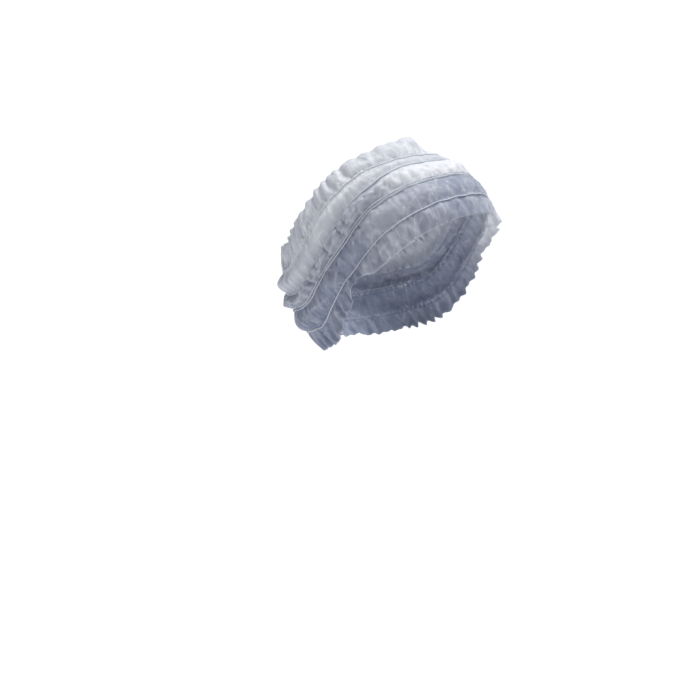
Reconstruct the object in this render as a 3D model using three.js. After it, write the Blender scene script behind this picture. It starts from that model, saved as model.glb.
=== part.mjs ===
// Disposable headband: a strip of thin nonwoven cloth, joined into a loop and drawn in by four elastic threads.
// Millimetres, +Z up as worn, front towards -Y, right side towards -X, origin in the middle of the hollow.
import * as THREE from 'three';
import { LoftGeometry } from 'three/addons/geometries/LoftGeometry.js';

// The egg-shaped form that the loop is stretched over: its centre, and how far it reaches each way from there
const FORM_CENTRE = new THREE.Vector3(0, 2, 26);
const FORM_SIDE = 75;
const FORM_FRONT = 96;
const FORM_BACK = 87;
const FORM_UP = 86;
const FORM_DOWN = 90;
// 2 makes the form an ellipsoid, and more makes it fuller between its axes
const FORM_FULLNESS = 2.3;

// Cloth wall, and how far its middle lies off the form
const WALL = 1.6;
const STAND_OFF = 2.2;
const STEPS_ROUND = 168;

// Elastic threads
const THREAD_RADIUS = 0.6;
const THREAD_GAP = 0.5;
const THREAD_STEPS = 80;
const THREAD_SIDES = 5;

// Front and back edge of the cloth on the form, from the middle of the front round the right side to the back.
// gather is how full the cloth is there, as a share of each strip's own puff and fold height, ruffle is how far
// the back edge stands off the form. lean is how far the front and middle threads lie towards the front edge, as
// a share of the strip's width, and sag is the same for the inner back thread.
const STATIONS = [
  { front: [0, -89, 67], back: [0, -17, 116], gather: 0.4, ruffle: 10, lean: 0, sag: 0 },
  { front: [-35, -84, 62], back: [-27, -10, 115], gather: 0.5, ruffle: 7, lean: 0, sag: 0 },
  { front: [-59, -69, 48], back: [-49, 8, 105], gather: 0.75, ruffle: 3, lean: 0.012, sag: 0.06 },
  { front: [-73, -42, 24], back: [-64, 23, 86], gather: 0.95, ruffle: 1, lean: 0.08, sag: 0.12 },
  { front: [-73, -26, -4], back: [-71, 39, 64], gather: 1, ruffle: 0, lean: 0.035, sag: 0.12 },
  { front: [-64, -5, -31], back: [-68, 55, 42], gather: 1, ruffle: 0, lean: 0.02, sag: 0.11 },
  { front: [-52, 23, -44], back: [-50, 76, 33], gather: 1, ruffle: 0, lean: 0, sag: 0.08 },
  { front: [-32, 45, -48], back: [-27, 88, 29], gather: 1, ruffle: 0, lean: 0, sag: 0.03 },
  { front: [0, 60, -50], back: [0, 92, 28], gather: 1, ruffle: 0, lean: 0, sag: 0 },
];

// The loop sits a little askew, rising by this much for each millimetre towards the left
const SLANT = 0.07;

// The strips between free edges and threads, across the cloth from the front edge (0) to the back edge (1).
// puff is how far a strip stands out, height and folds are its gathers, wander how unevenly they are spaced.
const STRIPS = [
  { from: 0, to: 0.18, parts: 2, puff: 1.5, height: 2.6, folds: 31, wander: 1.1, phase: 0.3 },
  { from: 0.18, to: 0.42, parts: 3, puff: 4.4, height: 1.8, folds: 26, wander: 1.4, phase: 1.9 },
  { from: 0.42, to: 0.64, parts: 3, puff: 4.6, height: 2, folds: 22, wander: 1.6, phase: 0.8 },
  { from: 0.64, to: 0.775, parts: 2, puff: 5.4, height: 0.5, folds: 34, wander: 0.8, phase: 2.2 },
  { from: 0.775, to: 1, parts: 2, puff: 0, height: 1.8, folds: 28, wander: 1.3, phase: 1.1 },
];
const WANDERS_ROUND = 3;
// How much of the lean and the sag the front edge, each thread and the back edge take
const LEAN_OF_LINES = [0, 1, 1, 0, 0, 0];
const SAG_OF_LINES = [0, 0, 0, 1, 0, 0];
const THREAD_NAMES = ['front_elastic', 'middle_elastic', 'inner_back_elastic', 'back_elastic'];

const FULL_TURN = 2 * Math.PI;
const { lerp, smoothstep } = THREE.MathUtils;

// The stations of one side and their mirror images make the whole loop
function wholeLoop(column) {
  const half = STATIONS.map((row) => new THREE.Vector3(...row[column]));
  const mirrored = half.slice(1, -1).reverse().map((p) => new THREE.Vector3(-p.x, p.y, p.z));
  const askew = [...half, ...mirrored].map((p) => p.setZ(p.z + SLANT * p.x));
  return new THREE.CatmullRomCurve3(askew, true, 'catmullrom');
}

const frontEdge = wholeLoop('front');
const backEdge = wholeLoop('back');

// A column of the station table at a share u of the way round, read between its rows
function columnAt(column, u) {
  const place = (STATIONS.length - 1) * (1 - Math.abs(1 - 2 * u));
  const row = Math.min(Math.floor(place), STATIONS.length - 2);
  return lerp(STATIONS[row][column], STATIONS[row + 1][column], smoothstep(place - row, 0, 1));
}

// The point of the form in a direction from its centre, and the way that its surface faces there
function formPoint(direction) {
  const reach = new THREE.Vector3(
    FORM_SIDE,
    direction.y < 0 ? FORM_FRONT : FORM_BACK,
    direction.z > 0 ? FORM_UP : FORM_DOWN,
  );
  const share = direction.clone().divide(reach).toArray();
  const size = share.reduce((sum, s) => sum + Math.abs(s) ** FORM_FULLNESS, 0) ** (1 / FORM_FULLNESS);
  const steepness = share.map((s) => Math.sign(s) * Math.abs(s) ** (FORM_FULLNESS - 1));
  return {
    point: direction.clone().divideScalar(size).add(FORM_CENTRE),
    normal: new THREE.Vector3(...steepness).divide(reach).normalize(),
  };
}

// The direction a share t of the way across the strip, at a share u of the way round the loop
function across(u, t) {
  const start = frontEdge.getPoint(u).sub(FORM_CENTRE).normalize();
  const end = backEdge.getPoint(u).sub(FORM_CENTRE).normalize();
  const angle = start.angleTo(end);
  start.multiplyScalar(Math.sin((1 - t) * angle));
  return start.addScaledVector(end, Math.sin(t * angle)).normalize();
}

// How far a strip's cloth stands off its threads: nothing on a thread, most half way or at a free edge
function standOut(strip, u, t) {
  const share = (t - strip.from) / (strip.to - strip.from);
  const isFree = strip.from === 0 || strip.to === 1;
  const fromThread = strip.from === 0 ? 1 - share : share;
  const swell = Math.sin(fromThread * (isFree ? Math.PI / 2 : Math.PI)) ** 2;
  const uneven = strip.wander * Math.sin(FULL_TURN * WANDERS_ROUND * u + strip.phase);
  const fold = Math.sin(FULL_TURN * strip.folds * u + strip.phase + uneven + share);
  const ruffle = strip.to === 1 ? columnAt('ruffle', u) : 0;
  return swell * (ruffle + columnAt('gather', u) * (strip.puff + strip.height * fold));
}

function clothPoint(strip, u, t, lift) {
  const share = (t - strip.from) / (strip.to - strip.from);
  const line = STRIPS.indexOf(strip);
  const lean = columnAt('lean', u) * lerp(LEAN_OF_LINES[line], LEAN_OF_LINES[line + 1], share);
  const sag = columnAt('sag', u) * lerp(SAG_OF_LINES[line], SAG_OF_LINES[line + 1], share);
  const { point, normal } = formPoint(across(u, t - lean - sag));
  return point.addScaledVector(normal, STAND_OFF + standOut(strip, u, t) + lift);
}

// One closed cross-section of the wall: out along the outside from the front edge, back along the inside
function wallSection(u) {
  const outside = [];
  const inside = [];
  const addPlace = (strip, part) => {
    const t = lerp(strip.from, strip.to, part / strip.parts);
    outside.push(clothPoint(strip, u, t, WALL / 2));
    inside.unshift(clothPoint(strip, u, t, -WALL / 2));
  };
  for (const strip of STRIPS) {
    for (let part = 0; part < strip.parts; part += 1) {
      addPlace(strip, part);
    }
  }
  const lastStrip = STRIPS.at(-1);
  addPlace(lastStrip, lastStrip.parts);
  return [...outside, ...inside];
}

function bandGeometry() {
  const sections = Array.from({ length: STEPS_ROUND }, (_, i) => wallSection(i / STEPS_ROUND));
  return new LoftGeometry([...sections, sections[0]]);
}

// A thread is a closed tube that lies outside the wall, in the groove at the end of its strip
function threadGeometry(strip) {
  const lift = WALL / 2 + THREAD_GAP + THREAD_RADIUS;
  const place = (_, i) => clothPoint(strip, i / THREAD_STEPS, strip.to, lift);
  const route = Array.from({ length: THREAD_STEPS }, place);
  const curve = new THREE.CatmullRomCurve3(route, true);
  return new THREE.TubeGeometry(curve, THREAD_STEPS, THREAD_RADIUS, THREAD_SIDES, true);
}

const nonwoven = new THREE.MeshStandardMaterial({ color: '#e6ebf0', roughness: 0.85, metalness: 0 });
const elastic = new THREE.MeshStandardMaterial({ color: '#dfe3e8', roughness: 0.7, metalness: 0 });

const headband = new THREE.Group();

const band = new THREE.Mesh(bandGeometry(), nonwoven);
band.name = 'band';
headband.add(band);

THREAD_NAMES.forEach((name, i) => {
  const thread = new THREE.Mesh(threadGeometry(STRIPS[i]), elastic);
  thread.name = name;
  headband.add(thread);
});

export default headband;
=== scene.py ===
# %% [markdown]
# # A disposable headband of spunbond cloth
# The real headband is one long strip of thin spunbond nonwoven, joined into a loop. Four elastic threads are
# bonded along it while they are stretched, and when they pull back they gather the cloth into ruffles.
# Here a grid of cells is rolled into a ring, laid on the worn path and pinned along its threads. Blender's
# Cloth then gives the cells some spare length and finds the folds that it makes, as on the real strip.

# %% Load the frame
import math

import bmesh
import bpy
import numpy as np
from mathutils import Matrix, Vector


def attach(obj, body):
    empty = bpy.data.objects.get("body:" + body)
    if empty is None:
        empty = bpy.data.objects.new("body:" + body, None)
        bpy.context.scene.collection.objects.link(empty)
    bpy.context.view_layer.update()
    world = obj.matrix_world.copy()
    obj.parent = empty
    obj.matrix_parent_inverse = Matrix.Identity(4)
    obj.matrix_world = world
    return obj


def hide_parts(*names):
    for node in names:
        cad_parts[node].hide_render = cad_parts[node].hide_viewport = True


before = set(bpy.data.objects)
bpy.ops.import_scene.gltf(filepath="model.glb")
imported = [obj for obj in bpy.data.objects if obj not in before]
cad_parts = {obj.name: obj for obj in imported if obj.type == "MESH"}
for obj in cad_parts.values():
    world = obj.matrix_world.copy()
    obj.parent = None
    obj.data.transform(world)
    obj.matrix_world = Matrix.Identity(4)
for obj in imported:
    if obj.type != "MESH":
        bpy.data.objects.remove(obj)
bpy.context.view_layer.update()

MM = 0.001
print("solids in the frame:", sorted(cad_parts))

# %% [markdown]
# ## Camera
# The loop was pictured from its right front corner and a little above, with a long lens. A camera is placed
# by a direction and a distance, and then moved sideways until the middle of the hollow falls on the same spot
# of the picture. That keeps the lens free of shift.

# %% Camera
VIEW_AZIMUTH = math.radians(-45)
VIEW_ELEVATION = math.radians(11)
VIEW_DISTANCE = 1700 * MM
PIXEL = 0.84 * MM
PICTURE_PIXELS = 700
ORIGIN_PIXEL = (389, 285)
SENSOR = 36 * MM

to_camera = Vector((
    math.sin(VIEW_AZIMUTH) * math.cos(VIEW_ELEVATION),
    -math.cos(VIEW_AZIMUTH) * math.cos(VIEW_ELEVATION),
    math.sin(VIEW_ELEVATION),
))
to_right = Vector((0, 0, 1)).cross(to_camera).normalized()
to_top = to_camera.cross(to_right)
aim = PIXEL * (
    (PICTURE_PIXELS / 2 - ORIGIN_PIXEL[0]) * to_right + (ORIGIN_PIXEL[1] - PICTURE_PIXELS / 2) * to_top
)

lens = bpy.data.cameras.new("camera")
lens.sensor_width = SENSOR / MM
lens.clip_end = 200
lens.lens = SENSOR / MM * VIEW_DISTANCE / (PIXEL * PICTURE_PIXELS)
camera = bpy.data.objects.new("camera", lens)
camera.location = aim + VIEW_DISTANCE * to_camera
camera.rotation_euler = to_camera.to_track_quat("Z", "Y").to_euler()
bpy.context.collection.objects.link(camera)
bpy.context.scene.camera = camera
print("lens", round(lens.lens, 1), "mm")

# %% [markdown]
# ## The worn path
# Worn, the strip follows an egg-shaped form. It runs high over the top at the front and low at the back, with
# a ruffle along each edge. A short table gives both edges from the middle of the front round to the middle of
# the back, and the other half is its mirror image. Each place on the cloth then has two shares: u round the
# loop, and t across the strip from the front edge to the back edge.

# %% Table of the worn path, in millimetres
FORM_CENTRE = np.array((0.0, 2.0, 26.0))
FORM_SIDE = 75.0
FORM_FRONT = 96.0
FORM_BACK = 87.0
FORM_UP = 86.0
FORM_DOWN = 90.0
FORM_FULLNESS = 2.3
STAND_OFF = 2.2
SLANT = 0.07

# gather is how much the panels between threads puff, and fullness how much cloth there is to each worn
# length. lean is how far the front and middle threads lie towards the front edge, as a share of the strip's
# width, and sag is the same for the inner back thread.
STATIONS = [
    {"front": (0, -89, 67), "back": (0, -17, 116),
     "gather": 0.4, "fullness": 0.95, "lean": 0, "sag": 0},
    {"front": (-35, -84, 62), "back": (-27, -10, 115),
     "gather": 0.5, "fullness": 0.98, "lean": 0, "sag": 0},
    {"front": (-59, -69, 48), "back": (-49, 8, 105),
     "gather": 0.75, "fullness": 1.10, "lean": 0.012, "sag": 0.06},
    {"front": (-73, -42, 24), "back": (-64, 23, 86),
     "gather": 0.95, "fullness": 1.20, "lean": 0.08, "sag": 0.12},
    {"front": (-73, -26, -4), "back": (-71, 39, 64),
     "gather": 1, "fullness": 1.22, "lean": 0.035, "sag": 0.12},
    {"front": (-64, -5, -31), "back": (-68, 55, 42),
     "gather": 1.5, "fullness": 1.25, "lean": 0.02, "sag": 0.11},
    {"front": (-52, 23, -44), "back": (-50, 76, 33),
     "gather": 1.5, "fullness": 1.25, "lean": 0, "sag": 0.08},
    {"front": (-32, 45, -48), "back": (-27, 88, 29),
     "gather": 1, "fullness": 1.25, "lean": 0, "sag": 0.03},
    {"front": (0, 60, -50), "back": (0, 92, 28),
     "gather": 1, "fullness": 1.25, "lean": 0, "sag": 0},
]
# The four threads across the strip, and how much of the lean and the sag each edge and thread takes
THREAD_SHARES = (0.18, 0.42, 0.64, 0.775)
LINES_ACROSS = (0.0, *THREAD_SHARES, 1.0)
LEAN_OF_LINES = (0.0, 1.0, 1.0, 0.0, 0.0, 0.0)
SAG_OF_LINES = (0.0, 0.0, 0.0, 1.0, 0.0, 0.0)
# The five panels between edges and threads, and how far each puffs out
PANEL_PUFFS = (1.0, 2.6, 3.8, 4.2, 0.0)
FRONT_PANEL = 0
BACK_PANEL = len(PANEL_PUFFS) - 1
# How far the front edge stands off: (share round the loop, millimetres), right side positive, left negative
FRONT_FLARE = [
    (-0.5, 0), (-0.24, 1), (-0.2, 2), (-0.18, 4), (-0.16, 2), (-0.145, 4), (-0.13, 2), (-0.115, 4),
    (-0.09, 1), (0, 0), (0.1, 0), (0.125, 2), (0.142, 6), (0.155, 1.5), (0.172, 7), (0.187, 0.5), (0.2, 3),
    (0.216, 6), (0.233, 1), (0.25, 5), (0.27, 2), (0.3, 4), (0.33, 1), (0.5, 0),
]
# How much further than the table the front edge reaches down, in the same way
FRONT_REACH = [
    (-0.5, 0), (0.1, 0), (0.14, 2), (0.165, 3), (0.195, -4), (0.22, 0), (0.245, 3), (0.27, -1),
    (0.3, 2), (0.35, 0), (0.395, 4), (0.43, 0), (0.5, 0),
]
WORN_WIDTH = 95.0
# How far the back edge stands off, in the same way
BACK_RUFFLE = [
    (-0.5, 0), (-0.2, 1), (-0.06, 2), (-0.035, 3), (-0.012, 11.5), (0.03, 9), (0.07, 6), (0.13, 3),
    (0.2, 1), (0.5, 0),
]


# %% Points on the worn path
def unit(vectors):
    return vectors / np.linalg.norm(vectors, axis=-1, keepdims=True)


def whole_loop(column):
    half = np.array([row[column] for row in STATIONS], float)
    mirrored = half[-2:0:-1] * (-1, 1, 1)
    loop = np.vstack([half, mirrored])
    loop[:, 2] += SLANT * loop[:, 0]
    return loop


def along_loop(loop, u):
    """A smooth closed curve through the loop's points, read at shares u."""
    place = (u % 1.0) * len(loop)
    first = np.floor(place).astype(int)
    w = (place - first)[..., None]
    before, here, after, beyond = (loop[(first + step) % len(loop)] for step in (-1, 0, 1, 2))
    leaving = (after - before) / 2
    arriving = (beyond - here) / 2
    return (
        (2 * w**3 - 3 * w**2 + 1) * here
        + (w**3 - 2 * w**2 + w) * leaving
        + (3 * w**2 - 2 * w**3) * after
        + (w**3 - w**2) * arriving
    )


def column_at(column, u):
    """A column of the table at shares u, eased from row to row."""
    values = [row[column] for row in STATIONS]
    place = (len(values) - 1) * (1 - np.abs(1 - 2 * (u % 1.0)))
    row = np.minimum(np.floor(place), len(values) - 2)
    w = place - row
    return np.interp(row + 3 * w**2 - 2 * w**3, np.arange(len(values)), values)


def form_surface(direction):
    """The form's point in each direction from its centre, and the way that it faces there."""
    reach = np.stack([
        np.full(direction.shape[:-1], FORM_SIDE),
        np.where(direction[..., 1] < 0, FORM_FRONT, FORM_BACK),
        np.where(direction[..., 2] > 0, FORM_UP, FORM_DOWN),
    ], axis=-1)
    share = direction / reach
    size = (np.abs(share)**FORM_FULLNESS).sum(-1, keepdims=True)**(1 / FORM_FULLNESS)
    outward = unit(np.sign(share) * np.abs(share)**(FORM_FULLNESS - 1) / reach)
    return direction / size + FORM_CENTRE, outward


def on_form(u, t):
    """The form under a place on the strip, and the way that it faces there."""
    start = unit(along_loop(whole_loop("front"), u) - FORM_CENTRE)
    end = unit(along_loop(whole_loop("back"), u) - FORM_CENTRE)
    angle = np.arccos((start * end).sum(-1, keepdims=True))
    lean = column_at("lean", u) * np.interp(t, LINES_ACROSS, LEAN_OF_LINES)
    sag = column_at("sag", u) * np.interp(t, LINES_ACROSS, SAG_OF_LINES)
    t = (t - lean - sag)[..., None]
    return form_surface(unit(start * np.sin((1 - t) * angle) + end * np.sin(t * angle)))


def swell_of(t):
    """For each t its panel between threads or free edges, and 0 on a thread to 1 half way or at an edge."""
    lines = np.array(LINES_ACROSS)
    panel = np.clip(np.searchsorted(lines, t, side="right") - 1, FRONT_PANEL, BACK_PANEL)
    share = (t - lines[panel]) / (lines[panel + 1] - lines[panel])
    free_panels = [panel == FRONT_PANEL, panel == BACK_PANEL]
    from_thread = np.select(free_panels, [(1 - share) / 2, share / 2], share)
    return panel, np.sin(np.pi * from_thread)**2


def edge_stand(table, u):
    """The millimetres at shares u, read from a table of (u, millimetres) that goes once round."""
    shares, heights = zip(*table)
    return np.interp((u - shares[0]) % 1.0 + shares[0], shares, heights)


def worn_point(u, t, lift=0.0):
    """The worn cloth before it folds, lifted by that much more off the form."""
    panel, swell = swell_of(t)
    reach = np.where(panel == FRONT_PANEL, swell * edge_stand(FRONT_REACH, u) / WORN_WIDTH, 0)
    point, outward = on_form(u, t - reach)
    stand_out = swell * column_at("gather", u) * np.array(PANEL_PUFFS)[panel]
    stand_out += np.where(panel == FRONT_PANEL, swell * edge_stand(FRONT_FLARE, u), 0)
    stand_out += np.where(panel == BACK_PANEL, swell * edge_stand(BACK_RUFFLE, u), 0)
    return point + outward * (STAND_OFF + stand_out + lift)[..., None]


ROUND_STEPS = 720
round_steps = np.linspace(0, 1, ROUND_STEPS + 1)
thread_paths = [worn_point(round_steps, np.full_like(round_steps, t)) for t in THREAD_SHARES]
thread_steps = [np.linalg.norm(np.diff(path, axis=0), axis=1) for path in thread_paths]
print("worn thread lengths, mm:", [round(steps.sum()) for steps in thread_steps])

# %% [markdown]
# ## The flat strip
# The cloth starts as the strip that a machine would cut: a grid with even cells, rolled into a plain ring so
# that its ends can be joined. Its UV coordinates keep each cell's place on the flat strip, for the patterns
# of the material. Then each cell gets its place on the worn path, with more cloth to each worn millimetre at
# the sides and the back than at the front, because the elastic is less stretched there.

# %% Cut and roll the strip
FULL_TURN = 2 * math.pi
CELL = 1.25
STRIP_LENGTH = 610.0
STRIP_WIDTH = 105.0
THREADS_AT = (17.5, 42.5, 67.5, 82.5)
COLUMNS = round(STRIP_LENGTH / CELL)
ROWS = round(STRIP_WIDTH / CELL)
RING_RADIUS = STRIP_LENGTH / FULL_TURN
# Cloth works best on things about a metre across, so the strip is simulated at ten times its size
SIM = 0.01

strip = bmesh.new()
strip.loops.layers.uv.new("flat_strip")
bmesh.ops.create_grid(strip, x_segments=COLUMNS, y_segments=ROWS, size=0.5, calc_uvs=True)
for vert in strip.verts:
    turn = FULL_TURN * (vert.co.x + 0.5)
    height = STRIP_WIDTH * (vert.co.y + 0.5)
    vert.co = SIM * Vector((RING_RADIUS * math.cos(turn), RING_RADIUS * math.sin(turn), height))
bmesh.ops.remove_doubles(strip, verts=strip.verts, dist=SIM * CELL / 10)
cloth_mesh = bpy.data.meshes.new("band_cloth")
strip.to_mesh(cloth_mesh)
strip.free()
cloth_mesh.polygons.foreach_set("use_smooth", np.ones(len(cloth_mesh.polygons), bool))
band = bpy.data.objects.new("band_cloth", cloth_mesh)
bpy.context.collection.objects.link(band)
print("strip cells", len(cloth_mesh.polygons), "vertices", len(cloth_mesh.vertices))


# %% Where each cell lies when worn
def positions(mesh):
    flat = np.empty(3 * len(mesh.vertices))
    mesh.vertices.foreach_get("co", flat)
    return flat.reshape(-1, 3)


rolled = positions(cloth_mesh) / SIM
turn_share = (-np.arctan2(rolled[:, 1], rolled[:, 0]) / FULL_TURN) % 1.0
cut_across = rolled[:, 2]
across = np.interp(cut_across, (0, *THREADS_AT, STRIP_WIDTH), LINES_ACROSS)
print("cells across", ROWS, "and round", COLUMNS)

# %% Spread the cloth along the worn path
from_back = round_steps + 0.5
worn_steps = np.roll(np.mean(thread_steps, axis=0), -(ROUND_STEPS // 2))
cloth_used = np.cumsum(worn_steps * column_at("fullness", from_back[:-1]))
cloth_used = np.concatenate([[0], cloth_used]) / cloth_used[-1]
round_share = np.interp(turn_share, cloth_used, from_back)
signed_share = (round_share + 0.5) % 1.0 - 0.5
from_front = np.abs(signed_share)
print("cloth to each worn millimetre:", round(STRIP_LENGTH / worn_steps.sum(), 2))

# %% [markdown]
# ## Where the cloth folds
# A gather needs a start and some spare cloth. Low waves, different in each panel between threads, give the
# folds their start. A vertex group then says how much longer than the worn path the cloth is at each place:
# most in the ruffles and at the back, and least at the front, where the elastic is stretched. The dice have
# fixed seeds, so each run folds the same way.

# %% Seed the folds
FOLD_SEED = 11
fold_dice = np.random.default_rng(FOLD_SEED)
# Each panel's own gathers: their usual length, how far they slant across the strip, and their height
PANEL_GATHERS = [
    {"length": 13, "slant": 0.02, "height": 1.1},
    {"length": 7, "slant": 0.02, "height": 0.35},
    {"length": 14, "slant": 0.05, "height": 1.3},
    {"length": 11, "slant": 0.02, "height": 0.25},
    {"length": 17, "slant": 0.03, "height": 0.8},
]
WAVES_EACH = 9
LENGTH_SPREAD = (0.6, 1.6)
PATCHES_ROUND = (3, 9)
SEED_GRAIN = 0.12


def uneven_gathers(length, slant, height):
    """Gathers about that long, each of its own length, slant and start, and full only here and there."""
    total = np.zeros(len(cut_across))
    for _ in range(WAVES_EACH):
        count = round(STRIP_LENGTH / length * fold_dice.uniform(*LENGTH_SPREAD))
        lean = fold_dice.uniform(-slant, slant)
        start = fold_dice.uniform(0, FULL_TURN)
        patches = fold_dice.integers(*PATCHES_ROUND)
        patch_start = fold_dice.uniform(0, FULL_TURN)
        here_and_there = 0.5 + 0.5 * np.sin(FULL_TURN * patches * turn_share + patch_start)
        total += here_and_there * np.sin(FULL_TURN * (count * turn_share + lean * cut_across) + start)
    return height * total / math.sqrt(WAVES_EACH / 2)


panel, swell = swell_of(across)
seed = np.choose(panel, [uneven_gathers(**gathers) for gathers in PANEL_GATHERS])
seed += SEED_GRAIN * fold_dice.normal(size=len(seed))
# The cloth rises to the threads, which lie on its outside
THREAD_LIFT = 1.3
THREAD_LIFT_REACH = 1.8
near_thread = np.min([np.abs(cut_across - at) for at in THREADS_AT], axis=0)
lift = THREAD_LIFT * np.exp(-(near_thread / THREAD_LIFT_REACH)**2)
lift += swell * column_at("gather", round_share) * seed
worn = worn_point(round_share, across, lift)
cloth_mesh.vertices.foreach_set("co", (SIM * worn).ravel())
print("start box, mm:", worn.min(0).round(1), worn.max(0).round(1))

# %% Spare cloth
# How much more cloth the five panels have than the worn path, at shares of the way round from the front
SPARE = [
    {"u": 0.00, "panels": (0.012, 0.02, 0.045, 0.02, 0.03)},
    {"u": 0.05, "panels": (0.015, 0.02, 0.045, 0.02, 0.035)},
    {"u": 0.09, "panels": (0.025, 0.025, 0.025, 0.02, 0.04)},
    {"u": 0.15, "panels": (0.07, 0.04, 0.04, 0.012, 0.05)},
    {"u": 0.25, "panels": (0.10, 0.055, 0.06, 0.015, 0.06)},
    {"u": 0.50, "panels": (0.11, 0.08, 0.10, 0.05, 0.08)},
]
SPARE_MOST = 0.4
# It sets in this far from a thread, and it comes in bunches, with these numbers of them round the loop
SPARE_REACH = 2.5
BUNCHES = range(5, 23)
BUNCHING = 0.13


def panel_values(table, number, shares):
    """One panel's column of a table, read at shares of the way round."""
    return np.interp(shares, [row["u"] for row in table], [row["panels"][number] for row in table])


spare_of_panels = [panel_values(SPARE, number, from_front) for number in range(len(PANEL_PUFFS))]
bunched = [
    sum(np.sin(FULL_TURN * (count * turn_share + fold_dice.uniform())) for count in BUNCHES)
    for _ in PANEL_PUFFS
]
spare = np.choose(panel, spare_of_panels) * (1 + BUNCHING * np.choose(panel, bunched))
spare = np.clip(spare * (1 - np.exp(-(near_thread / SPARE_REACH)**2)), 0, SPARE_MOST)
# Cloth grows the cells most at weight 0 and leaves them as they are at weight 1
spare_cloth = band.vertex_groups.new(name="spare_cloth")
for index, share in enumerate((1 - spare / SPARE_MOST).tolist()):
    spare_cloth.add([index], share, "REPLACE")
print("spare cloth", spare.mean().round(3), "on average,", spare.max().round(3), "at most")

# %% [markdown]
# ## Let the cloth fold
# Cloth can grow a mesh while it runs: each cell wants the length that its spare cloth gives it. The pinned
# thread rows stay on the worn path, and everything between them is free, so the spare cloth buckles into
# gathers. A slight pressure from inside stands for the form that the loop is stretched over: it keeps the
# folds outside. The result is kept as a plain mesh.

# %% Cloth
SIM_FRAMES = 24
# The free edges are held only a little, so that the ruffles stay near the worn path
EDGE_HOLD = 0.05
HOLD_LEAST = 0.001
# The middle line's two cords lie on a flat lane, with one row of cells to each side of the line
LANE_CELLS = 1.1
hold = EDGE_HOLD * np.where((panel == FRONT_PANEL) | (panel == BACK_PANEL), swell, 0)
hold[near_thread < CELL / 10] = 1.0
hold[np.abs(cut_across - THREADS_AT[1]) < LANE_CELLS * CELL] = 1.0
thread_rows = band.vertex_groups.new(name="thread_rows")
for index in np.flatnonzero(hold > HOLD_LEAST).tolist():
    thread_rows.add([index], hold[index], "REPLACE")

gathers = band.modifiers.new("gathers", "CLOTH")
strip_cloth = gathers.settings
strip_cloth.quality = 5
strip_cloth.mass = 0.1
strip_cloth.tension_stiffness = 40
strip_cloth.compression_stiffness = 40
strip_cloth.shear_stiffness = 10
strip_cloth.bending_stiffness = 3
strip_cloth.tension_damping = 10
strip_cloth.compression_damping = 10
strip_cloth.shear_damping = 5
strip_cloth.air_damping = 3
strip_cloth.vertex_group_mass = thread_rows.name
strip_cloth.pin_stiffness = 50
strip_cloth.vertex_group_shrink = spare_cloth.name
strip_cloth.shrink_min = -SPARE_MOST
strip_cloth.shrink_max = 0.0
strip_cloth.use_pressure = True
strip_cloth.uniform_pressure_force = 0.3
strip_cloth.effector_weights.gravity = 0.05
gathers.collision_settings.use_collision = False
gathers.point_cache.frame_start = 1
gathers.point_cache.frame_end = SIM_FRAMES
for step in range(1, SIM_FRAMES + 1):
    bpy.context.scene.frame_set(step)

folded = bpy.data.meshes.new_from_object(band.evaluated_get(bpy.context.evaluated_depsgraph_get()))

# %% Keep the folded cloth, in metres
band.modifiers.clear()
band.vertex_groups.clear()
band.data = folded
folded.name = "band_cloth"
cloth_points = positions(folded) / SIM
folded.vertices.foreach_set("co", (cloth_points * MM).ravel())
folded.update()
print("folded box, mm:", cloth_points.min(0).round(1), cloth_points.max(0).round(1))

# %% [markdown]
# ## Press in pleats and creases
# Spunbond creases like paper. It was packed folded, so sharp lines cross it, and where the worn loop is slack
# it lies in long flat pleats. Cloth simulation makes soft folds only, so these are pressed into its result:
# each is a line on the flat strip, steep on one side and gentle on the other, that dies out at its ends.

# %% Pleats and creases
# The loop's usual worn length, which turns shares of the way round into millimetres
LOOP_LENGTH = 545.0
CREASE_WIDTH = 0.8
# A line this high or higher shows as a full crease. A lower power makes lines die out nearer to their ends.
FULL_CREASE = 0.5
FADE_POWER = 0.6
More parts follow.
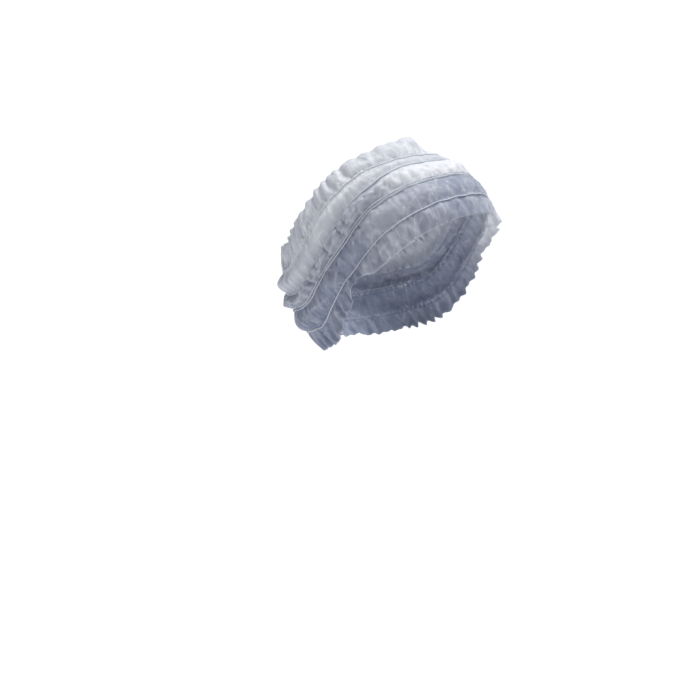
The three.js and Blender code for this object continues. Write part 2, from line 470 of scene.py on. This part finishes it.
# Each line's start and end are (u, cut millimetres across). height, steep and gentle are in millimetres.
PLEATS = [
    {"start": (0.060, 62), "end": (0.175, 47), "height": 1.7, "steep": 1.1, "gentle": 5},
    {"start": (0.120, 65), "end": (0.215, 49), "height": 2.0, "steep": 1.1, "gentle": 5},
    {"start": (0.175, 62), "end": (0.270, 46), "height": 1.8, "steep": 1.1, "gentle": 4.5},
    {"start": (0.235, 65), "end": (0.330, 52), "height": 2.0, "steep": 1.1, "gentle": 5},
    {"start": (0.300, 50), "end": (0.380, 64), "height": 1.8, "steep": 1.1, "gentle": 5},
    {"start": (0.400, 63), "end": (0.480, 48), "height": 1.8, "steep": 1.1, "gentle": 5},
    {"start": (-0.180, 48), "end": (-0.070, 63), "height": 1.8, "steep": 1.1, "gentle": 5},
    {"start": (-0.290, 64), "end": (-0.190, 50), "height": 2.0, "steep": 1.1, "gentle": 5},
    {"start": (-0.420, 49), "end": (-0.310, 63), "height": 1.8, "steep": 1.1, "gentle": 5},
    {"start": (0.090, 57), "end": (0.200, 51), "height": 1.3, "steep": 0.9, "gentle": 3.5},
    {"start": (0.140, 61), "end": (0.255, 57), "height": 1.4, "steep": 0.9, "gentle": 3.5},
    {"start": (0.200, 54), "end": (0.310, 60), "height": 1.3, "steep": 0.9, "gentle": 3.5},
    {"start": (0.125, 51), "end": (0.205, 45), "height": 1.1, "steep": 0.9, "gentle": 3},
    {"start": (0.190, 38), "end": (0.240, 22), "height": 0.9, "steep": 1.0, "gentle": 3.5},
    {"start": (0.260, 24), "end": (0.330, 38), "height": 1.2, "steep": 1.0, "gentle": 3.5},
    {"start": (0.026, 38), "end": (0.003, 1), "height": 0.7, "steep": 0.9, "gentle": 2.5},
    {"start": (0.050, 37), "end": (0.036, 2), "height": 0.7, "steep": 0.9, "gentle": 2.5},
    {"start": (-0.008, 62), "end": (0.016, 47), "height": 1.0, "steep": 0.9, "gentle": 2.5},
]
# Cross pleats over the top of the middle panel, from its back thread forwards
CROSS_PLEATS = 11
CROSS_FROM = -0.09
CROSS_TO = 0.085
CROSS_SHIFT = 0.007
CROSS_DRIFT = (-0.004, 0.02)
CROSS_START = 66
CROSS_ENDS = (44, 54)
CROSS_HEIGHTS = (0.7, 1.3)
CROSS_STEEP = 0.8
CROSS_GENTLES = (2.5, 4)
# Short creases by chance: in the ruffles, anywhere but on the smooth roll by the back thread, and at the
# front. lean is how far they usually stray from square across the strip, in radians.
RUFFLE_CREASES = {"count": 240, "lean": 0.25, "runs": (7, 21), "heights": (0.2, 0.7), "gentles": (1.5, 3)}
STRAY_CREASES = {"count": 420, "lean": 0.4, "runs": (5, 16), "heights": (0.12, 0.45), "gentles": (1.3, 2.6)}
MIDDLE_CREASES = {**STRAY_CREASES, "lean": 1.1}
FRONT_CREASES = {"count": 110, "lean": 0.7, "runs": (6, 18), "heights": (0.3, 0.9), "gentles": (1.5, 3.5)}
BACK_RUFFLE_SHARE = 0.55
SMOOTH_MARGIN = 8
FRONT_FROM = -0.16
FRONT_TO = 0.17
CREASE_STEEP = 0.7
CREASE_SEED = 5
crease_dice = np.random.default_rng(CREASE_SEED)


def add_crease(kind, u_start, across_start, way=1):
    """A short straight crease that starts there and goes one way across the strip."""
    run = crease_dice.uniform(*kind["runs"])
    lean = crease_dice.normal(0, kind["lean"])
    PLEATS.append({
        "start": (u_start, across_start),
        "end": (u_start + run * math.sin(lean) / LOOP_LENGTH, across_start + way * run * math.cos(lean)),
        "height": crease_dice.uniform(*kind["heights"]),
        "steep": CREASE_STEEP,
        "gentle": crease_dice.uniform(*kind["gentles"]),
    })


for u_start in np.linspace(CROSS_FROM, CROSS_TO, CROSS_PLEATS):
    u_start += crease_dice.uniform(-CROSS_SHIFT, CROSS_SHIFT)
    u_end = u_start + crease_dice.uniform(*CROSS_DRIFT)
    PLEATS.append({
        "start": (u_start, CROSS_START),
        "end": (u_end, crease_dice.uniform(*CROSS_ENDS)),
        "height": crease_dice.uniform(*CROSS_HEIGHTS),
        "steep": CROSS_STEEP,
        "gentle": crease_dice.uniform(*CROSS_GENTLES),
    })
for _ in range(RUFFLE_CREASES["count"]):
    u_start = crease_dice.uniform(-0.5, 0.5)
    at_back = crease_dice.uniform() < BACK_RUFFLE_SHARE
    across_start, way = (THREADS_AT[3], 1) if at_back else (THREADS_AT[0], -1)
    add_crease(RUFFLE_CREASES, u_start, across_start, way)
for _ in range(STRAY_CREASES["count"]):
    u_start = crease_dice.uniform(-0.5, 0.5)
    across_start = crease_dice.uniform(0, STRIP_WIDTH)
    if THREADS_AT[2] - SMOOTH_MARGIN < across_start < THREADS_AT[3]:
        continue
    in_middle = THREADS_AT[1] < across_start < THREADS_AT[2]
    add_crease(MIDDLE_CREASES if in_middle else STRAY_CREASES, u_start, across_start)
for _ in range(FRONT_CREASES["count"]):
    u_start = crease_dice.uniform(FRONT_FROM, FRONT_TO)
    across_start = crease_dice.uniform(0, THREADS_AT[1])
    add_crease(FRONT_CREASES, u_start, across_start)


def pressed_lines():
    """How far the pleats raise each vertex, and how close it is to a crease."""
    raised = np.zeros(len(cut_across))
    creased = np.zeros(len(cut_across))
    for pleat in PLEATS:
        (u_start, across_start), (u_end, across_end) = pleat["start"], pleat["end"]
        along = np.array(((u_end - u_start) * LOOP_LENGTH, across_end - across_start))
        away_round = ((signed_share - u_start + 0.5) % 1.0 - 0.5) * LOOP_LENGTH
        away = np.stack([away_round, cut_across - across_start], axis=-1)
        run = away @ along / (along @ along)
        off = (away[:, 0] * along[1] - away[:, 1] * along[0]) / np.linalg.norm(along)
        ridge = np.exp(-np.where(off > 0, off / pleat["steep"], -off / pleat["gentle"]))
        fade = np.sin(np.pi * np.clip(run, 0, 1))**FADE_POWER
        raised += pleat["height"] * fade * ridge
        line = fade * np.exp(-(off / CREASE_WIDTH)**2) * min(1, pleat["height"] / FULL_CREASE)
        creased = np.maximum(creased, line)
    return raised, creased


def outward_of(mesh):
    flat = np.empty(3 * len(mesh.vertices))
    mesh.vertices.foreach_get("normal", flat)
    return flat.reshape(-1, 3)


# The lines fade out this near to a thread
THREAD_CLEARANCE = 2.0
thread_clear = 1 - np.exp(-(near_thread / THREAD_CLEARANCE)**2)
raised, creased = pressed_lines()
cloth_points += outward_of(folded) * (thread_clear * raised)[:, None]
folded.vertices.foreach_set("co", (cloth_points * MM).ravel())
folded.update()
print("pleats and creases", len(PLEATS))

# %% [markdown]
# ## How pale the cloth looks
# One layer of this cloth is thin enough to see the dark through, so it looks grey. Where it is gathered it
# lies several times over, and fold edges turn towards the light, so both look whiter. That is painted on the
# mesh as a number for each vertex: each panel has its own start, and threads and ridges make it paler. So the
# number holds painted light and shade as well: a painted highlight over the top of the loop and on fold
# edges, and painted shadow in thin lines beside the threads.

# %% Paint the gathers, highlights and shadows
# Paleness of the five panels at shares of the way round, right side positive, left side negative. Partly
# painted light: the panels over the top of the loop are painted paler, as the light from above makes them.
PALENESS = [
    {"u": -0.50, "panels": (0.10, 0.10, 0.20, 0.50, 0.50)},
    {"u": -0.26, "panels": (0.20, 0.15, 0.25, 0.55, 0.60)},
    {"u": -0.13, "panels": (0.95, 0.50, 0.50, 0.70, 0.75)},
    {"u": -0.07, "panels": (0.35, 0.25, 0.85, 0.75, 0.85)},
    {"u": 0.00, "panels": (0.20, 0.20, 1.00, 0.68, 0.74)},
    {"u": 0.07, "panels": (0.28, 0.32, 0.90, 0.72, 0.74)},
    {"u": 0.12, "panels": (0.40, 0.46, 0.44, 0.85, 0.78)},
    {"u": 0.17, "panels": (0.25, 0.20, 0.28, 0.82, 0.72)},
    {"u": 0.26, "panels": (0.10, 0.14, 0.34, 0.66, 0.66)},
    {"u": 0.50, "panels": (0.10, 0.10, 0.20, 0.50, 0.50)},
]
PANEL_BLEND = 1.5
# Cloth that stands out from the cells around it is painted paler: a painted highlight on fold edges
RIDGE_HIGHLIGHT = 0.06
RIDGE_PASSES = 10
RIDGE_LIMITS = (-0.4, 1.0)
CREASE_PALENESS = 0.22
# The fine gathers at each thread: their strength, how far they reach, and how bunched they are
LACE_AT_THREADS = (0.8, 1.0, 0.5, 1.3)
LACE_REACHES = (3.2, 3.2, 3.2, 5.0)
LACE_EVEN = 0.7
LACE_BUNCHED = 0.1
LACE_LIMITS = (0.2, 1.2)
# Thin lines beside the threads and along the edges: (place across the cut strip, paler or darker). The darker
# ones are painted shadow, in the grooves beside and between the cords and in the shade of the smooth roll
# below the inner back thread. The paler ones on the threads are painted highlight on their ridges.
PAINTED_SHADE_AND_PALE_LINES = [
    (0, 0.25), (16.25, -0.18), (17.5, 0.1), (40, -0.12), (41.25, 0.15), (42.5, -0.2), (43.75, 0.15),
    (65, -0.1), (66.25, -0.15), (81.25, 0.15), (82.5, 0.3), (83.75, 0.15), (105, 0.2),
]
LINE_WIDTH = 0.7


def neighbour_mean(mesh, points):
    """Each vertex's mean of the vertices that an edge joins it to."""
    ends = np.empty(2 * len(mesh.edges), int)
    mesh.edges.foreach_get("vertices", ends)
    first, second = ends.reshape(-1, 2).T
    total = np.zeros_like(points)
    count = np.zeros((len(points), 1))
    for here, there in ((first, second), (second, first)):
        np.add.at(total, here, points[there])
        np.add.at(count, here, 1)
    return total / count


def ridges(mesh, points):
    """How far each vertex stands out from the cloth a few cells around it, in millimetres."""
    evened = points
    for _ in range(RIDGE_PASSES):
        evened = neighbour_mean(mesh, evened)
    return ((points - evened) * outward_of(mesh)).sum(-1)


paleness = np.zeros(len(cloth_points))
share_sum = np.zeros(len(cloth_points))
edges_across = (-STRIP_WIDTH, *THREADS_AT, 2 * STRIP_WIDTH)
for number, (low, high) in enumerate(zip(edges_across, edges_across[1:])):
    past_low = 1 / (1 + np.exp(-(cut_across - low) / PANEL_BLEND))
    inside = past_low / (1 + np.exp((cut_across - high) / PANEL_BLEND))
    paleness += panel_values(PALENESS, number, signed_share) * inside
    share_sum += inside
paleness /= share_sum
lace = np.zeros(len(cloth_points))
here_and_there = np.clip(LACE_EVEN + LACE_BUNCHED * bunched[1], *LACE_LIMITS)
here_and_there *= column_at("gather", round_share)
for at, weight, reach in zip(THREADS_AT, LACE_AT_THREADS, LACE_REACHES):
    lace += weight * here_and_there * np.exp(-((cut_across - at) / reach)**2)
for at, tone in PAINTED_SHADE_AND_PALE_LINES:
    paleness += tone * np.exp(-((cut_across - at) / LINE_WIDTH)**2)
paleness += CREASE_PALENESS * thread_clear * creased
paleness += RIDGE_HIGHLIGHT * np.clip(ridges(folded, cloth_points), *RIDGE_LIMITS)
painted = folded.attributes.new("layers", "FLOAT", "POINT")
painted.data.foreach_set("value", np.clip(paleness, 0, 1))
gathers_paint = folded.attributes.new("gathers", "FLOAT", "POINT")
gathers_paint.data.foreach_set("value", lace)
print("paleness from", paleness.min().round(2), "to", paleness.max().round(2))

# %% [markdown]
# ## Give the cloth its thickness
# Spunbond of this weight is about a third of a millimetre thick. A Solidify modifier gives the sheet that
# thickness and closes its edges, so the mesh is a true thin solid.

# %% Thickness
CLOTH_THICKNESS = 0.3
thickness = band.modifiers.new("thickness", "SOLIDIFY")
thickness.thickness = CLOTH_THICKNESS * MM
thickness.offset = 0
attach(band, "root")
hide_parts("band")
print(band.name, CLOTH_THICKNESS, "mm thick")

# %% [markdown]
# ## Elastic threads
# Each thread is a few fine rubber strands laid together. Twisted strands show as a thin pale cord on the
# cloth, and the middle line has two such cords side by side. A curve with a round bevel follows the thread's
# path, with its points turned round the path to twist it, and is then made a mesh.

# %% Threads
THREAD_OFF_CLOTH = 1.9
STRAND_RADIUS = 0.22
STRAND_COUNT = 3
TWIST_OFFSET = 0.22
TWIST_PITCH = 5.0
PATH_STEP = 1.0
PATH_SAMPLES = 4000
# The two cords of the middle line lie this far to each side of it
CORD_OFFSET = 1.1
WANDER = 0.1
WANDER_COUNTS = range(9, 36, 3)
WANDER_SEED = 7
thread_dice = np.random.default_rng(WANDER_SEED)
THREADS = [
    {"node": "front_elastic", "at": THREAD_SHARES[0], "cords": (0.0,)},
    {"node": "middle_elastic", "at": THREAD_SHARES[1], "cords": (-CORD_OFFSET, CORD_OFFSET)},
    {"node": "inner_back_elastic", "at": THREAD_SHARES[2], "cords": (0.0,)},
    {"node": "back_elastic", "at": THREAD_SHARES[3], "cords": (0.0,)},
]


def thread_frame(at):
    """Evenly spaced points along a thread, with the directions off the cloth and along the strip's width."""
    fine = np.linspace(0, 1, PATH_SAMPLES + 1)
    path = worn_point(fine, np.full_like(fine, at), THREAD_OFF_CLOTH)
    run = np.concatenate([[0], np.cumsum(np.linalg.norm(np.diff(path, axis=0), axis=1))])
    steps = round(run[-1] / PATH_STEP)
    u = np.interp(np.linspace(0, run[-1], steps, endpoint=False), run, fine)
    points = worn_point(u, np.full_like(u, at), THREAD_OFF_CLOTH)
    off_cloth = on_form(u, np.full_like(u, at))[1]
    ahead = unit(np.roll(points, -1, axis=0) - np.roll(points, 1, axis=0))
    return points, off_cloth, np.cross(ahead, off_cloth), run[-1]


def strand_spline(curve, points):
    spline = curve.splines.new("POLY")
    spline.points.add(len(points) - 1)
    spline.points.foreach_set("co", np.column_stack([points * MM, np.ones(len(points))]).ravel())
    spline.use_cyclic_u = True
    spline.use_smooth = True


def wandering(turns):
    """How far a cord strays sideways along its way, in millimetres."""
    waves = [np.sin(FULL_TURN * (count * turns + thread_dice.uniform())) for count in WANDER_COUNTS]
    return WANDER * sum(waves)


def elastic_thread(node, at, cords):
    """One thread as a mesh of twisted strands, for each of its cords."""
    curve = bpy.data.curves.new(node, "CURVE")
    curve.dimensions = "3D"
    curve.bevel_depth = STRAND_RADIUS * MM
    curve.bevel_resolution = 1
    points, off_cloth, sideways, length = thread_frame(at)
    twists = round(length / TWIST_PITCH)
    turns = np.arange(len(points)) / len(points)
    for cord in cords:
        offset = cord + wandering(turns)
        for strand in range(STRAND_COUNT):
            angle = FULL_TURN * (twists * turns + strand / STRAND_COUNT)
            turned = np.cos(angle)[:, None] * off_cloth + np.sin(angle)[:, None] * sideways
            strand_spline(curve, points + offset[:, None] * sideways + TWIST_OFFSET * turned)
    shaped = bpy.data.objects.new(node + "_curve", curve)
    bpy.context.collection.objects.link(shaped)
    mesh = bpy.data.meshes.new_from_object(shaped.evaluated_get(bpy.context.evaluated_depsgraph_get()))
    bpy.data.objects.remove(shaped)
    thread = bpy.data.objects.new(node + "_thread", mesh)
    bpy.context.collection.objects.link(thread)
    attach(thread, "root")
    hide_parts(node)
    print(thread.name, round(length), "mm worn,", len(mesh.polygons), "faces")
    return thread


threads = [elastic_thread(**row) for row in THREADS]

# %% [markdown]
# ## Colours and nodes
# Colours are written as sRGB hex values, as a colour picker shows them, and shaders want linear light, so one
# function turns one into the other. Another adds a node, sets its values and links its inputs.


# %% Colour and node helpers
def linear(hex_colour):
    shares = [int(hex_colour[i:i + 2], 16) / 255 for i in (1, 3, 5)]
    return (*[s / 12.92 if s <= 0.04045 else ((s + 0.055) / 1.055)**2.4 for s in shares], 1.0)


def add_node(tree, kind, values=None, links=None, **settings):
    """A node with its settings, the values of its inputs, and the sockets that its inputs are linked from."""
    node = tree.nodes.new(kind)
    for name, value in settings.items():
        setattr(node, name, value)
    for name, value in (values or {}).items():
        node.inputs[name].default_value = value
    for name, socket in (links or {}).items():
        tree.links.new(socket, node.inputs[name])
    return node


def new_material(name):
    material = bpy.data.materials.new(name)
    material.use_nodes = True
    material.node_tree.nodes.clear()
    return material, material.node_tree


# %% [markdown]
# ## Spunbond polypropylene
# The cloth is spun filaments laid at random and bonded in a fine grid of hot points. It is matt with a faint
# silky gloss, lets light through, and is clouded where the filaments lie thicker. It creases like paper, so
# a Voronoi pattern draws straight creases between flat facets, and ridged noise the softer crinkles. Beside
# the threads, fine gathers too small for the mesh are a lace of painted light and shade, pale and dark. All
# patterns follow the flat strip, so they gather with the cloth. Two tables say how much each adds to the
# painted paleness, and how deep its bump is.

# %% Cloth patterns
CLOUD_SIZE = 9.0
FILAMENT_SIZE = 0.9
# The bond points are about 1 mm apart, drawn at 1.6 mm so that they show
BOND_PITCH = 1.6
# A stretch below 1 draws a pattern out across the strip
CRINKLE_SIZE = 10.0
CRINKLE_STRETCH = 0.6
# Paper-like creases: the size of the facets between them, and their width
FACET_SIZE = 13.0
FACET_STRETCH = 0.7
CREASE_LINE = 0.5
GATHER_SIZE = 1.9
GATHER_STRETCH = 0.4


def filament_patterns(tree, flat):
    """Clouds, single filaments and bond points."""
    clouds = add_node(
        tree, "ShaderNodeTexNoise", links={"Vector": flat},
        values={"Scale": 1 / CLOUD_SIZE, "Detail": 3, "Roughness": 0.6})
    filaments = add_node(
        tree, "ShaderNodeTexNoise", links={"Vector": flat},
        values={"Scale": 1 / FILAMENT_SIZE, "Detail": 2, "Roughness": 0.7, "Distortion": 1.5})
    bonds = add_node(
        tree, "ShaderNodeTexVoronoi", feature="F1", voronoi_dimensions="2D",
        links={"Vector": flat}, values={"Scale": 1 / BOND_PITCH, "Randomness": 0.15})
    return {
        "clouds": clouds.outputs["Fac"],
        "filaments": filaments.outputs["Fac"],
        "bonds": bonds.outputs["Distance"],
    }


def crease_patterns(tree, flat):
    """Soft crinkles, their tone, and straight creases where the crinkles are strong."""
    across_strip = add_node(
        tree, "ShaderNodeMapping", links={"Vector": flat},
        values={"Scale": (1 / CRINKLE_SIZE, CRINKLE_STRETCH / CRINKLE_SIZE, 1)})
    crinkles = add_node(
        tree, "ShaderNodeTexNoise", noise_type="RIDGED_MULTIFRACTAL",
        links={"Vector": across_strip.outputs["Vector"]},
        values={"Scale": 1, "Detail": 2, "Roughness": 0.5, "Offset": 0.9, "Gain": 2})
    crinkle_tone = add_node(
        tree, "ShaderNodeMapRange", links={"Value": crinkles.outputs["Fac"]},
        values={"From Min": 0.4, "From Max": 1.8, "To Min": -0.5, "To Max": 0.5})
    facets_on_strip = add_node(
        tree, "ShaderNodeMapping", links={"Vector": flat},
        values={"Scale": (1 / FACET_SIZE, FACET_STRETCH / FACET_SIZE, 1)})
    facets = add_node(
        tree, "ShaderNodeTexVoronoi", feature="DISTANCE_TO_EDGE", voronoi_dimensions="2D",
        links={"Vector": facets_on_strip.outputs["Vector"]}, values={"Scale": 1})
    crease_lines = add_node(
        tree, "ShaderNodeMapRange", links={"Value": facets.outputs["Distance"]},
        values={"From Min": 0, "From Max": CREASE_LINE / FACET_SIZE, "To Min": 1, "To Max": 0})
    some_creases = add_node(
        tree, "ShaderNodeMapRange", links={"Value": crinkles.outputs["Fac"]},
        values={"From Min": 0.7, "From Max": 1.5})
    creases = add_node(
        tree, "ShaderNodeMath", operation="MULTIPLY",
        links={0: crease_lines.outputs["Result"], 1: some_creases.outputs["Result"]})
    return {
        "crinkles": crinkles.outputs["Fac"],
        "crinkle_tone": crinkle_tone.outputs["Result"],
        "creases": creases.outputs["Value"],
    }


def gather_pattern(tree, flat):
    """Fine gathers beside the threads, painted paler and darker than the cloth as their own light and shade.
    """
    at_threads = add_node(
        tree, "ShaderNodeMapping", links={"Vector": flat},
        values={"Scale": (1 / GATHER_SIZE, GATHER_STRETCH / GATHER_SIZE, 1)})
    fine_gathers = add_node(
        tree, "ShaderNodeTexNoise", links={"Vector": at_threads.outputs["Vector"]},
        values={"Scale": 1, "Detail": 2, "Roughness": 0.6})
    pale_and_dark = add_node(
        tree, "ShaderNodeMapRange", links={"Value": fine_gathers.outputs["Fac"]},
        values={"From Min": 0.35, "From Max": 0.65, "To Min": -0.5, "To Max": 0.5})
    gathered = add_node(tree, "ShaderNodeAttribute", attribute_name="gathers")
    lace = add_node(
        tree, "ShaderNodeMath", operation="MULTIPLY",
        links={0: pale_and_dark.outputs["Result"], 1: gathered.outputs["Fac"]})
    return {"lace": lace.outputs["Value"]}


# %% Cloth material
# One layer over the dark, and gathered cloth; the painted highlights and shadows in the paleness also run
# between these
SINGLE_LAYER_AND_SHADE = "#8791a9"
GATHERED_AND_LIT = "#f6f7f9"
# The paleness, patterns included, that looks like a single layer in painted shade and like gathered cloth in
# painted light
TONE_SINGLE_AND_SHADE = 0.22
TONE_GATHERED_AND_LIT = 1.19
LIGHT_THROUGH = 0.25
# How much each pattern adds to the paleness; the lace's share is painted light and shade of the fine gathers
PATTERN_TONES = {"clouds": 0.3, "filaments": 0.12, "crinkle_tone": 0.15, "creases": 0.45, "lace": 0.7}
# Each bump's strength, and its depth in millimetres
PATTERN_BUMPS = {
    "bonds": (0.12, 0.1),
    "filaments": (0.3, 0.15),
    "crinkles": (0.4, 0.8),
    "creases": (0.4, 0.4),
    "lace": (0.5, 0.8),
}


def spunbond():
    material, tree = new_material("spunbond_polypropylene")
    uv = add_node(tree, "ShaderNodeUVMap", uv_map="flat_strip")
    strip_places = add_node(
        tree, "ShaderNodeMapping", links={"Vector": uv.outputs["UV"]},
        values={"Scale": (STRIP_LENGTH, STRIP_WIDTH, 1)})
    flat = strip_places.outputs["Vector"]
    patterns = {**filament_patterns(tree, flat), **crease_patterns(tree, flat), **gather_pattern(tree, flat)}
    # The painted paleness of the gathered cloth, with its painted highlights and painted shadows
    layers = add_node(tree, "ShaderNodeAttribute", attribute_name="layers")
    tone = layers.outputs["Fac"]
    for name, contrast in PATTERN_TONES.items():
        added = add_node(
            tree, "ShaderNodeMath", operation="MULTIPLY_ADD",
            links={0: patterns[name], 2: tone}, values={1: contrast})
        tone = added.outputs["Value"]
    share = add_node(
        tree, "ShaderNodeMapRange", links={"Value": tone},
        values={"From Min": TONE_SINGLE_AND_SHADE, "From Max": TONE_GATHERED_AND_LIT})
    colour = add_node(
        tree, "ShaderNodeMix", data_type="RGBA", links={"Factor": share.outputs["Result"]},
        values={6: linear(SINGLE_LAYER_AND_SHADE), 7: linear(GATHERED_AND_LIT)})
    bumps = {}
    for name, (strength, depth) in PATTERN_BUMPS.items():
        bump = add_node(
            tree, "ShaderNodeBump", links={"Height": patterns[name], **bumps},
            values={"Strength": strength, "Distance": depth * MM})
        bumps = {"Normal": bump.outputs["Normal"]}
    surface = add_node(
        tree, "ShaderNodeBsdfPrincipled", links={"Base Color": colour.outputs[2], **bumps},
        values={
            "Roughness": 0.62, "IOR": 1.49, "Specular IOR Level": 0.35,
            "Sheen Weight": 0.4, "Sheen Roughness": 0.4,
        })
    through = add_node(tree, "ShaderNodeBsdfTranslucent", links={"Color": colour.outputs[2], **bumps})
    mixed = add_node(
        tree, "ShaderNodeMixShader", values={0: LIGHT_THROUGH},
        links={1: surface.outputs["BSDF"], 2: through.outputs["BSDF"]})
    add_node(tree, "ShaderNodeOutputMaterial", links={"Surface": mixed.outputs["Shader"]})
    print(material.name, len(tree.nodes), "nodes")
    return material


folded.materials.append(spunbond())

# %% [markdown]
# ## Covered rubber thread
# The threads are rubber in a thin fuzzy cover, matt and nearly as pale as gathered cloth. A fine noise stands
# for the fuzz.

# %% Thread material
THREAD_PALE = "#f0f2f5"
THREAD_SHADED = "#c4c9d4"
FUZZ_SIZE = 0.7
FUZZ_DEPTH = 0.1


def covered_rubber():
    material, tree = new_material("covered_rubber_thread")
    place = add_node(tree, "ShaderNodeTexCoord")
    fuzz = add_node(
        tree, "ShaderNodeTexNoise", links={"Vector": place.outputs["Object"]},
        values={"Scale": 1 / (FUZZ_SIZE * MM), "Detail": 2})
    colour = add_node(
        tree, "ShaderNodeMix", data_type="RGBA", links={"Factor": fuzz.outputs["Fac"]},
        values={6: linear(THREAD_SHADED), 7: linear(THREAD_PALE)})
    bump = add_node(
        tree, "ShaderNodeBump", links={"Height": fuzz.outputs["Fac"]},
        values={"Strength": 0.3, "Distance": FUZZ_DEPTH * MM})
    surface = add_node(
        tree, "ShaderNodeBsdfPrincipled",
        links={"Base Color": colour.outputs[2], "Normal": bump.outputs["Normal"]},
        values={"Roughness": 0.7, "IOR": 1.52})
    add_node(tree, "ShaderNodeOutputMaterial", links={"Surface": surface.outputs["BSDF"]})
    return material


rubber = covered_rubber()
for thread in threads:
    thread.data.materials.append(rubber)
    thread.data.polygons.foreach_set("use_smooth", np.ones(len(thread.data.polygons), bool))
print(rubber.name, "on", len(threads), "threads")

# %% [markdown]
# ## Floor and light
# The loop is held up, so the floor lies well below it. A wide pale floor fills the picture behind it, and one
# broad lamp from above with an even bright sky gives soft studio light.

# %% Floor
FLOOR_HEIGHT = -430 * MM
FLOOR_REACH = 60.0
FLOOR_COLOUR = "#e6e6e6"
ground = bmesh.new()
bmesh.ops.create_grid(ground, x_segments=1, y_segments=1, size=FLOOR_REACH)
bmesh.ops.translate(ground, verts=ground.verts, vec=(0, 0, FLOOR_HEIGHT))
floor_mesh = bpy.data.meshes.new("floor")
ground.to_mesh(floor_mesh)
ground.free()
floor = bpy.data.objects.new("floor", floor_mesh)
bpy.context.collection.objects.link(floor)
paper, tree = new_material("matt_paper")
sheet_of_paper = add_node(
    tree, "ShaderNodeBsdfPrincipled", values={"Base Color": linear(FLOOR_COLOUR), "Roughness": 0.9})
add_node(tree, "ShaderNodeOutputMaterial", links={"Surface": sheet_of_paper.outputs["BSDF"]})
floor_mesh.materials.append(paper)
print(floor.name, round(FLOOR_HEIGHT / MM), "mm high")

# %% Light
SKY_COLOUR = "#f4f7ff"
SKY_STRENGTH = 0.4
LAMP_FROM = Vector((0.3, 0.0, 1.0))
LAMP_STRENGTH = 3.3
LAMP_ANGLE = math.radians(24)
sky = bpy.data.worlds.new("sky")
sky.use_nodes = True
sky.node_tree.nodes.clear()
glow = add_node(
    sky.node_tree, "ShaderNodeBackground", values={"Color": linear(SKY_COLOUR), "Strength": SKY_STRENGTH})
add_node(sky.node_tree, "ShaderNodeOutputWorld", links={"Surface": glow.outputs["Background"]})
bpy.context.scene.world = sky
lamp_data = bpy.data.lights.new("lamp", "SUN")
lamp_data.energy = LAMP_STRENGTH
lamp_data.angle = LAMP_ANGLE
lamp = bpy.data.objects.new("lamp", lamp_data)
lamp.location = LAMP_FROM
lamp.rotation_euler = LAMP_FROM.to_track_quat("Z", "Y").to_euler()
bpy.context.collection.objects.link(lamp)
bpy.context.scene.view_settings.view_transform = "Standard"
print(lamp.name, LAMP_STRENGTH, "and", sky.name, SKY_STRENGTH)
